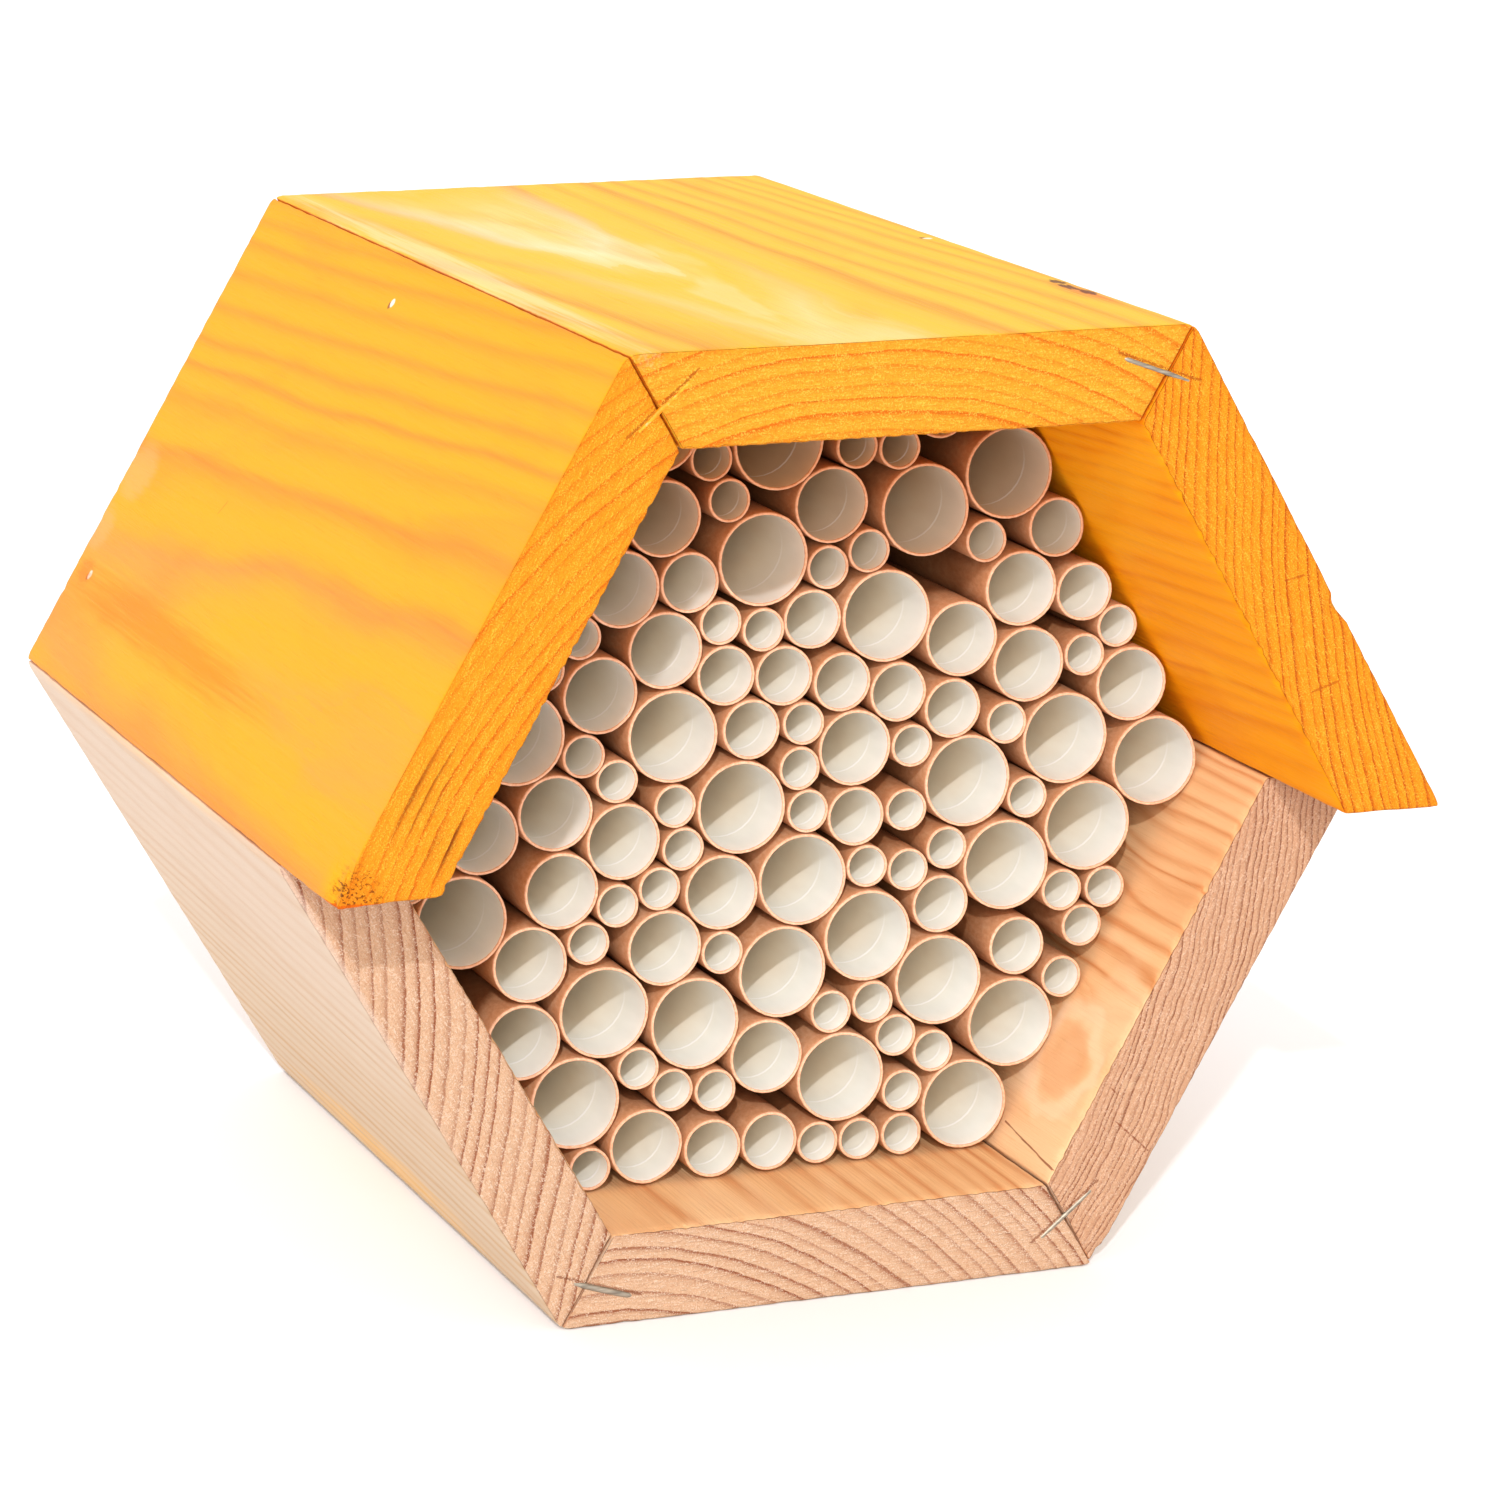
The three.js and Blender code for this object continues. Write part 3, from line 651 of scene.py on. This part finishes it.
def board_mesh(name):
    """A box-like grid over all six faces of a board, with eased edges, saw fuzz and small dents."""
    index = BOARDS.index(name)
    front = ROOF_FRONT if name in PAINTED else WALL_FRONT
    tightness = 1.0 if name in PAINTED else BARE_GAP
    depth = REAR - front
    width = 2 * (MIDDLE * SLOPE)
    us = [2 * v / width - 1 for v in spaced(width, 0.45 * MM, 0.85 * MM)]
    vs = [v / THICKNESS for v in spaced(THICKNESS, 0.5 * MM, 1.4 * MM)]
    ys = spaced(depth, 0.45 * MM, 2.6 * MM)
    mesh = bmesh.new()
    edge_layer = mesh.verts.layers.float.new("edge")
    inside_layer = mesh.verts.layers.float.new("inside")
    made = {}

    def vertex(i, j, k):
        if (i, j, k) in made:
            return made[i, j, k]
        gap = tightness * mitre_gap(vs[j], min(ys[k], depth - ys[k]))
        s, h = section_point(us[i], vs[j], gap)
        y = front + ys[k]
        flat = h * SLOPE - gap
        reach = sorted([flat - abs(s), MIDDLE - h, h - INNER, ys[k], depth - ys[k]])[1]
        point = weather(name, index, s, h, y, ys[k], reach)
        vert = mesh.verts.new(point)
        vert[edge_layer] = math.exp(-reach / (0.7 * MM))
        vert[inside_layer] = 1.0 if j == 0 else 0.0
        made[i, j, k] = vert
        return vert

    nu, nv, ny = len(us) - 1, len(vs) - 1, len(ys) - 1
    sides = [
        (grid_faces(nu, ny, lambda i, k: (i, nv, k)), False),
        (grid_faces(nu, ny, lambda i, k: (i, 0, k)), True),
        (grid_faces(nv, ny, lambda j, k: (nu, j, k)), True),
        (grid_faces(nv, ny, lambda j, k: (0, j, k)), False),
        (grid_faces(nu, nv, lambda i, j: (i, j, 0)), False),
        (grid_faces(nu, nv, lambda i, j: (i, j, ny)), True),
    ]
    for quads, flip in sides:
        for quad in quads:
            corners = [vertex(*key) for key in quad]
            mesh.faces.new(corners[::-1] if flip else corners)
    bmesh.ops.recalc_face_normals(mesh, faces=mesh.faces)
    data = bpy.data.meshes.new(name + "_look")
    mesh.to_mesh(data)
    mesh.free()
    return data


# Chips broken from the boards' outer front edges: place along the board, front, size and depth.
CHIPS = {
    "roof_board_left": (-32 * MM, ROOF_FRONT, 5 * MM, 1.3 * MM),
    "roof_board_right": (5 * MM, ROOF_FRONT, 2 * MM, 0.8 * MM),
    "wall_board_right": (33 * MM, WALL_FRONT, 3 * MM, 0.6 * MM),
}


def weather(name, index, s, h, y, from_front, reach):
    """Moves a surface point inwards a little: saw fuzz on the ends, worn edges and chips."""
    sample = board_point(index, s, h, y) / MM
    rough = noise.noise(sample * 0.9 + Vector((index * 17.0, 0, 0)))
    slow = noise.noise(sample * 0.12 + Vector((0, index * 11.0, 0)))
    near = math.exp(-reach / (0.8 * MM))
    wear = near * (0.10 + 0.14 * max(0.0, rough)) * MM
    centre_h = INNER + THICKNESS / 2
    inward_h = -1.0 if h > centre_h else 1.0
    h_new = h + inward_h * wear * 0.8 - 0.04 * MM * (1 + slow) * (1 if h > centre_h else 0)
    y_new = y
    if from_front < 0.6 * MM:
        y_new = y + wear + 0.06 * MM * (1 + rough)
        fibres = noise.noise(Vector((s / MM * 1.1, index * 5.0, 0)))
        if abs(h - INNER) < 0.2 * MM:
            h_new += 0.4 * MM * max(0.0, fibres + 0.1)
            y_new += 0.2 * MM * max(0.0, fibres)
    if y > REAR - 0.6 * MM:
        y_new = y - wear - 0.12 * MM * (1 + 0.6 * rough)
    s_new = s
    if h * SLOPE - MITRE_GAP - abs(s) < 0.05 * MM and reach < 0.6 * MM:
        torn = noise.noise(Vector((h / MM * 1.2, y / MM * 0.9, index * 3.0)))
        s_new = s - math.copysign(0.16 * MM * max(0.0, torn + 0.2), s)
    if name in CHIPS:
        chip_s, chip_y, size, chip_depth = CHIPS[name]
        centre = (chip_s, MIDDLE, chip_y)
        s_new, h_new, y_new = bite(s_new, h_new, y_new, centre, size, chip_depth, rough)
    return board_point(index, s_new, h_new, y_new)


def bite(s, h, y, centre, size, depth, rough):
    """A chip broken from an edge: points near its centre move back and down."""
    distance = math.sqrt((s - centre[0]) ** 2 + (h - centre[1]) ** 2 + (y - centre[2]) ** 2)
    if distance > size:
        return s, h, y
    amount = depth * (1 - distance / size) * (0.8 + 0.6 * rough)
    return s, h - amount, y + amount * 0.8


def soften(piece, width, angle=35):
    """Rounds the sharp edges and applies it to the mesh."""
    bevel = piece.modifiers.new("soften", "BEVEL")
    bevel.width = width
    bevel.segments = 2
    bevel.limit_method = "ANGLE"
    bevel.angle_limit = math.radians(angle)
    bevel.harden_normals = False
    apply_modifiers(piece)
    smooth(piece)


def apply_modifiers(piece):
    graph = bpy.context.evaluated_depsgraph_get()
    data = bpy.data.meshes.new_from_object(piece.evaluated_get(graph))
    piece.modifiers.clear()
    piece.data = data


def smooth(piece, angle=40):
    piece.data.polygons.foreach_set("use_smooth", [True] * len(piece.data.polygons))
    piece.data.set_sharp_from_angle(angle=math.radians(angle))


def make_boards():
    for name in BOARDS:
        piece = new_object(name + "_look", board_mesh(name))
        soften(piece, EASED_EDGE)
        piece.data.materials.clear()
        piece.data.materials.append(wood_material(name))
        place(piece, name)


# ---------------------------------------------------------------- paper tubes

KRAFT, RIM, LINER = 0, 1, 2


def paper_materials():
    return [kraft_material(), rim_material(), liner_material()]


def painted_roof_shade(s, p, color, tint):
    """Painted shade: darkens and warms the tubes high up, standing in for the roof's shade and the warm
    light from its stained underside.
    """
    shade = s.step(s.split(p)[2], 22.0, 40.0)
    return s.mix(shade, color, s.mix(1.0, color, tint, "MULTIPLY"))


def kraft_material():
    s = Shader("kraft_outside")
    p = s.millimetres()
    fibres = s.noise(s.vector("MULTIPLY", p, (1.8, 0.9, 1.8)), detail=3.0, roughness=0.7)
    wraps = s.noise(s.vector("MULTIPLY", p, (0.3, 0.12, 0.3)), detail=2.0)
    color = s.ramp(s.math("ADD", s.math("MULTIPLY", fibres, 0.6), s.math("MULTIPLY", wraps, 0.4)), [
        (0.3, srgb(190, 134, 92)), (0.5, srgb(208, 156, 116)), (0.7, srgb(222, 178, 142)),
    ])
    # Painted shade: the kraft turns darker further back from the mouth, for the shade in the gaps between
    # the tubes.
    deep = s.step(s.attribute("depth_from_glint"), -6.0, 4.0)
    painted_gap_shade = s.mix(1.0, color, (0.62, 0.50, 0.41), "MULTIPLY")
    color = s.mix(deep, color, painted_gap_shade)
    # Painted shade under the roof, on the kraft.
    color = painted_roof_shade(s, p, color, (0.82, 0.66, 0.52))
    return s.finish(color=color, roughness=s.math("ADD", s.math("MULTIPLY", fibres, 0.2), 0.6),
                    specular=0.25, normal=s.bump(fibres, 0.1 * MM, 0.5))


def rim_material():
    s = Shader("paper_rim")
    p = s.millimetres()
    plies = s.noise(s.vector("MULTIPLY", p, (2.2, 1.0, 2.2)), detail=3.0, roughness=0.7)
    color = s.ramp(plies, [
        (0.3, srgb(208, 158, 126)), (0.5, srgb(222, 176, 146)), (0.7, srgb(232, 194, 168)),
    ])
    # Painted shade under the roof, on the rim.
    color = painted_roof_shade(s, p, color, (0.88, 0.76, 0.64))
    return s.finish(color=color, roughness=s.math("ADD", s.math("MULTIPLY", plies, 0.2), 0.65),
                    specular=0.2, normal=s.bump(plies, 0.12 * MM, 0.5))


def liner_material():
    """White paper inside, with a painted highlight: a thin bright arc at a set depth on the lit lower side
    of each bore.
    """
    s = Shader("white_liner")
    p = s.millimetres()
    mottle = s.noise(s.vector("MULTIPLY", p, (0.5, 0.12, 0.5)), detail=3.0)
    fine = s.noise(s.vector("MULTIPLY", p, (2.0, 0.3, 2.0)), detail=2.0)
    depth_from_glint = s.attribute("depth_from_glint")
    # Painted light and shade: a paler, cooler tone near the mouth for the lit paper and a warmer one
    # further in for the shade deep in the bore.
    mouth = s.ramp(mottle, [(0.3, srgb(231, 234, 231)), (0.7, srgb(238, 240, 237))])
    deep = s.ramp(mottle, [(0.3, srgb(248, 236, 217)), (0.7, srgb(250, 242, 225))])
    color = s.mix(s.step(depth_from_glint, -5.0, 9.0), mouth, deep)
    # Painted shade under the roof, on the liner.
    color = painted_roof_shade(s, p, color, (0.80, 0.64, 0.50))
    # Painted highlight: a thin white arc where the depth crosses the highlight's ring, on the lit side
    # only, with a little bump.
    line = s.math("SUBTRACT", 1.0, s.step(s.math("ABSOLUTE", depth_from_glint), 0.1, 0.3))
    line = s.math("MULTIPLY", line, s.attribute("lit_side"))
    color = s.mix(line, color, (1.0, 1.0, 1.0))
    height = s.math("ADD", s.math("MULTIPLY", mottle, 0.1), line)
    return s.finish(color=color, roughness=s.math("ADD", s.math("MULTIPLY", fine, 0.1), 0.3),
                    specular=0.4, normal=s.bump(height, 0.05 * MM, 0.4))


def tubes_of(node):
    """Centre, outer and bore radius of every tube in a CAD node, from the rims on its front plane."""
    data = frame["nodes"][node].data
    points = np.array([v.co for v in data.vertices], float).reshape(-1, 3)
    front = points[:, 1].min()
    keys = {}
    home = [keys.setdefault(tuple(np.round(p, 6)), len(keys)) for p in points]
    spots = {home[i]: points[i] for i in range(len(points))}
    parent = list(range(len(keys)))

    def root(i):
        while parent[i] != i:
            i = parent[i]
        return i

    used = set()
    for polygon in data.polygons:
        corners = [home[i] for i in polygon.vertices]
        if max(abs(spots[i][1] - front) for i in corners) < 1e-5:
            used.update(corners)
            for other in corners[1:]:
                parent[root(other)] = root(corners[0])
    rings = {}
    for i in used:
        rings.setdefault(root(i), []).append(spots[i])
    found = []
    for ring in rings.values():
        ring = np.array(ring)
        low, high = ring.min(0), ring.max(0)
        x, z = (low[0] + high[0]) / 2, (low[2] + high[2]) / 2
        reach = np.hypot(ring[:, 0] - x, ring[:, 2] - z)
        found.append((x, z, reach.max(), reach.min()))
    return sorted(found)


def add_tube(mesh, x, z, outer, bore, front, rear, seed):
    """One rolled paper tube: a wall with a rounded, slightly ragged rim, a little out of round."""
    count = 20 + 2 * round(outer / MM)
    squash_turn = seed * 1.7
    squash = 0.012 + 0.012 * noise.noise(Vector((seed * 0.7, 3.1, 0)))
    torn_rim = 3.0 if noise.noise(Vector((seed * 3.3, 8.8, 1.0))) > 0.22 else 1.0
    back_set = 0.5 * MM * (1 + noise.noise(Vector((seed * 1.37, 0.4, 9.0))))
    wall = min(outer - bore, TUBE_MOUTH_WALL)
    mouth = outer - wall
    # Depth of the painted highlight's ring in the bore.
    glint_depth = 1.45 * bore
    profile = [
        (outer, rear), (outer, (front + rear) / 2), (outer, front + 6 * MM), (outer, front + 1.2 * MM),
        (outer - 0.01 * MM, front + 0.3 * MM), (outer - 0.12 * wall, front + 0.05 * MM),
        (outer - 0.45 * wall, front), (outer - 0.8 * wall, front + 0.02 * MM),
        (mouth + 0.03 * MM, front + 0.08 * MM), (mouth, front + 0.25 * MM), (mouth, front + 2 * MM),
        (mouth, front + 6 * MM), (bore, front + 18 * MM), (bore, (front + rear) / 2), (bore, rear),
    ]
    paper = [KRAFT] * 4 + [RIM] * 4 + [RIM] + [LINER] * 5 + [RIM]
    depth_from_glint_layer = mesh.verts.layers.float.get("depth_from_glint") or mesh.verts.layers.float.new("depth_from_glint")
    lit_side_layer = mesh.verts.layers.float.get("lit_side") or mesh.verts.layers.float.new("lit_side")
    rings = []
    for radius, y in profile:
        ring = []
        near = math.exp(-(y - front) / (1.5 * MM))
        for i in range(count):
            angle = 2 * math.pi * i / count
            ragged = noise.noise(Vector((math.cos(angle) * 2.3, math.sin(angle) * 2.3, seed * 5.1)))
            dent = noise.noise(Vector((math.cos(angle) * 0.9, math.sin(angle) * 0.9, seed * 2.3)))
            shape = 1 - squash * (0.5 - 0.5 * math.cos(2 * (angle - squash_turn)))
            shape -= 0.03 * near * max(0.0, dent)
            r = radius * shape
            fray = near * (0.10 * MM * torn_rim * max(0.0, ragged) + 0.10 * MM * abs(dent))
            depth = y + (back_set + fray if y < rear - 1e-6 else 0)
            vert = mesh.verts.new((x + r * math.cos(angle), depth, z + r * math.sin(angle)))
            # Depth behind the painted highlight's ring, and how far this point lies on the side that the
            # light falls on.
            vert[depth_from_glint_layer] = (y - front - glint_depth) / MM
            vert[lit_side_layer] = max(0.0, math.cos(angle + math.radians(62))) ** 1.5
            ring.append(vert)
        rings.append(ring)
    for a in range(len(rings)):
        b = (a + 1) % len(rings)
        for i in range(count):
            j = (i + 1) % count
            face = mesh.faces.new((rings[a][i], rings[b][i], rings[b][j], rings[a][j]))
            face.material_index = paper[a]
            face.smooth = True


def make_tubes():
    materials = paper_materials()
    seed = 0
    for name in sorted(n for n in frame["nodes"] if n.startswith("tube")):
        low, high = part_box(name)
        mesh = bmesh.new()
        for x, z, outer, bore in tubes_of(name):
            seed += 1
            add_tube(mesh, x, z, outer, bore, low.y, high.y, seed)
        bmesh.ops.recalc_face_normals(mesh, faces=mesh.faces)
        data = bpy.data.meshes.new(name + "_look")
        mesh.to_mesh(data)
        mesh.free()
        piece = new_object(name + "_look", data)
        for material in materials:
            data.materials.append(material)
        data.set_sharp_from_angle(angle=math.radians(60))
        place(piece, name)


# ---------------------------------------------------------------- fasteners, panel, hanger

def steel_material(name, bright, dull, rough, rust=0.0):
    s = Shader(name)
    p = s.millimetres()
    scratch = s.noise(s.vector("MULTIPLY", p, (0.25, 2.5, 2.5)), detail=3.0, roughness=0.6)
    stain = s.noise(s.vector("MULTIPLY", p, (0.9, 0.9, 0.9)), detail=3.0)
    color = s.ramp(scratch, [(0.3, dull), (0.65, bright)])
    color = s.mix(s.math("MULTIPLY", s.step(stain, 0.55, 0.75), rust), color, srgb(140, 92, 56))
    roughness = s.math("ADD", s.math("MULTIPLY", scratch, 0.25), rough)
    return s.finish(color=color, metallic=1.0, roughness=roughness, normal=s.bump(scratch, 0.03 * MM, 0.2))


def stained_wire_material():
    """Wire that the roof's yellow stain has run over."""
    s = Shader("staple_wire_stained")
    p = s.millimetres()
    runs = s.noise(s.vector("MULTIPLY", p, (2.0, 2.0, 2.0)), detail=3.0)
    color = s.ramp(runs, [
        (0.35, srgb(236, 132, 10)), (0.6, srgb(244, 156, 24)), (0.75, srgb(214, 170, 110)),
    ])
    return s.finish(color=color, roughness=s.math("ADD", s.math("MULTIPLY", runs, 0.2), 0.4),
                    specular=0.3, normal=s.bump(runs, 0.06 * MM, 0.5))


def plywood_material():
    s = Shader("plywood")
    p = s.millimetres()
    sweep_of_grain = s.noise(s.vector("MULTIPLY", p, (0.012, 0.0, 0.035)), detail=1.0)
    bands = s.math("FRACT", s.math("MULTIPLY", sweep_of_grain, 26.0))
    bands = s.ramp(bands, [(0.0, 0.0), (0.6, 0.2), (0.85, 1.0), (1.0, 0.0)])
    grain = s.noise(s.vector("MULTIPLY", p, (0.035, 0.2, 0.8)), detail=3.0, distortion=0.4)
    hair = s.noise(s.vector("MULTIPLY", p, (0.12, 1.0, 4.0)), detail=2.0)
    color = s.ramp(grain, [
        (0.3, srgb(196, 158, 112)), (0.5, srgb(212, 178, 134)), (0.7, srgb(220, 190, 150)),
    ])
    color = s.mix(s.math("MULTIPLY", bands, 0.45), color, srgb(178, 130, 84))
    color = s.mix(s.step(hair, 0.6, 0.8), color, s.mix(1.0, color, (0.9, 0.84, 0.76), "MULTIPLY"))
    ply = s.math("FRACT", s.math("MULTIPLY", s.split(p)[1], 0.5))
    facing = s.math("ABSOLUTE", s.split(s.normal())[1])
    edge_mask = s.math("SUBTRACT", 1.0, s.step(facing, 0.5, 0.8))
    layers = s.ramp(ply, [(0.45, srgb(214, 170, 120)), (0.55, srgb(150, 102, 62))])
    color = s.mix(edge_mask, color, layers)
    return s.finish(color=color, roughness=s.math("ADD", s.math("MULTIPLY", grain, 0.2), 0.6),
                    specular=0.25, normal=s.bump(s.math("ADD", grain, hair), 0.15 * MM, 0.5))


def refined_copy(node, width, material):
    """The CAD piece with its edges rounded."""
    data = frame["nodes"][node].data.copy()
    piece = new_object(node + "_look", data)
    mesh = bmesh.new()
    mesh.from_mesh(data)
    bmesh.ops.remove_doubles(mesh, verts=mesh.verts, dist=1e-6)
    bmesh.ops.dissolve_limit(mesh, angle_limit=math.radians(1), verts=mesh.verts, edges=mesh.edges)
    mesh.to_mesh(data)
    mesh.free()
    soften(piece, width, angle=25)
    piece.data.materials.clear()
    piece.data.materials.append(material)
    return place(piece, node)


def sweep(name, path, radius):
    """A round wire along a path of points, closed at both ends."""
    sides = 10
    mesh = bmesh.new()
    rings = []
    for i, spot in enumerate(path):
        run = (path[min(i + 1, len(path) - 1)] - path[max(i - 1, 0)]).normalized()
        across = run.cross(Vector((0.31, 0.17, 0.93))).normalized()
        lift = run.cross(across)
        ring = []
        for k in range(sides):
            turn = 2 * math.pi * k / sides
            ring.append(mesh.verts.new(spot + (across * math.cos(turn) + lift * math.sin(turn)) * radius))
        rings.append(ring)
    for low, high in zip(rings, rings[1:]):
        for k in range(sides):
            j = (k + 1) % sides
            mesh.faces.new((low[k], low[j], high[j], high[k]))
    mesh.faces.new(rings[0][::-1])
    mesh.faces.new(rings[-1])
    bmesh.ops.recalc_face_normals(mesh, faces=mesh.faces)
    data = bpy.data.meshes.new(name)
    mesh.to_mesh(data)
    mesh.free()
    piece = new_object(name, data)
    smooth(piece, 50)
    return piece


def make_staple(node, proud, material, face, facing, radius=WIRE_RADIUS):
    """A staple driven a little unevenly: its crown rises out of the wood, bows and dips back in."""
    middle, run, half = crown_line(node)
    bend = 0.9 * MM
    reach = half - radius
    low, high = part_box(node)
    leg = high.y - low.y - 1.0 * MM
    leg_step = (leg - 2 * bend) / 3
    path = []
    for step in range(4):
        path.append(middle - run * reach + Vector((0, face + facing * (leg - step * leg_step), 0)))
    crown = 18
    for step in range(crown + 1):
        t = step / crown
        along = -reach + 2 * reach * t
        corner = max(0.0, 1 - (reach - abs(along)) / bend)
        start, finish, bow = proud
        rise = start + (finish - start) * t + bow * math.sin(math.pi * t)
        sink = facing * (radius - rise * MM + bend * corner ** 2)
        path.append(middle + run * along + Vector((0, face + sink, 0)))
    for step in range(4):
        path.append(middle + run * reach + Vector((0, face + facing * (2 * bend + step * leg_step), 0)))
    piece = sweep(node + "_look", path, radius)
    piece.data.materials.append(material)
    return place(piece, node)


# How far each crown stands out of the wood, in millimetres: at its left end, at its right end, and its bow.
PROUD = {
    "staple_roof_left": (0.0, 0.02, -0.04),
    "staple_roof_right": (0.1, -0.05, 0.05),
    "staple_floor_left": (-0.3, 0.05, 0.35),
    "staple_floor_right": (0.0, -0.05, 0.12),
}


def make_fasteners():
    wire = steel_material("staple_wire", srgb(176, 170, 156), srgb(126, 120, 110), 0.4)
    painted_wire = stained_wire_material()
    nail = steel_material("brad_steel", srgb(190, 190, 188), srgb(120, 120, 118), 0.35, 0.4)
    brass = steel_material("hanger_brass", srgb(216, 188, 124), srgb(200, 170, 104), 0.3, 0.06)
    for node in sorted(frame["nodes"]):
        if node in FRONT_STAPLES:
            face = ROOF_FRONT if "roof" in node else WALL_FRONT
            metal = painted_wire if node == "staple_roof_left" else wire
            radius = THICK_WIRE_RADIUS if node == "staple_floor_left" else WIRE_RADIUS
            make_staple(node, PROUD[node], metal, face, 1, radius)
        elif node.startswith("staple"):
            make_staple(node, (-0.02, 0.0, 0.0), wire, REAR, -1)
        elif node.startswith("brad") or node.startswith("hanger_nail"):
            refined_copy(node, 0.12 * MM, nail)
        elif node == "hanger":
            refined_copy(node, 0.15 * MM, brass)
        elif node == "back_panel":
            refined_copy(node, 0.3 * MM, plywood_material())


# ---------------------------------------------------------------- floor, light and camera

def make_floor():
    data = bpy.data.meshes.new("floor")
    half = 6.0
    corners = [(-half, -half, 0), (half, -half, 0), (half, half, 0), (-half, half, 0)]
    data.from_pydata(corners, [], [(0, 1, 2, 3)])
    floor = new_object("floor", data)
    s = Shader("pale_floor")
    data.materials.append(s.finish(color=(0.90, 0.93, 0.99), roughness=0.8, specular=0.1))


def direction(azimuth, elevation):
    """From the object towards a light or camera. Azimuth 0 is in front, and negative is to the left."""
    a, e = math.radians(azimuth), math.radians(elevation)
    return Vector((math.sin(a) * math.cos(e), -math.cos(a) * math.cos(e), math.sin(e)))


def add_sun(name, strength, azimuth, elevation, softness, color):
    sun = bpy.data.lights.new(name, "SUN")
    sun.energy = strength
    sun.angle = math.radians(softness)
    sun.color = color
    lamp = new_object(name, sun)
    lamp.rotation_euler = direction(azimuth, elevation).to_track_quat("Z", "Y").to_euler()


def make_lights():
    world = bpy.data.worlds.new("studio")
    bpy.context.scene.world = world
    world.use_nodes = True
    background = world.node_tree.nodes["Background"]
    background.inputs["Color"].default_value = (1.16, 1.07, 1.0, 1.0)
    background.inputs["Strength"].default_value = 1.0
    add_sun("key", 1.75, -24, 31, 1.6, (0.96, 0.98, 1.0))
    add_sun("front_fill", 1.5, -22, 14, 24, (1.0, 0.84, 0.68))
    bpy.context.scene.view_settings.view_transform = "Standard"


def make_camera():
    azimuth, elevation, roll = -22.0099, 13.6334, 0.6505
    back = direction(azimuth, elevation)
    right = Vector((0, 0, 1)).cross(back).normalized()
    up = back.cross(right)
    turn = math.radians(roll)
    right, up = (
        right * math.cos(turn) + up * math.sin(turn),
        up * math.cos(turn) - right * math.sin(turn),
    )
    camera = bpy.data.cameras.new("camera")
    camera.sensor_width = 36
    camera.lens = 132.0
    camera.clip_start = 0.01
    piece = new_object("camera", camera)
    to_left, in_front, above = 240.5 * MM, 677.1 * MM, 157.0 * MM
    spot = Vector((-to_left, REAR - in_front, MIDDLE + above))
    turned = Matrix((right, up, back)).transposed().to_4x4()
    piece.matrix_world = Matrix.Translation(spot) @ turned
    bpy.context.scene.camera = piece


make_boards()
make_tubes()
make_fasteners()
make_floor()
make_lights()
make_camera()
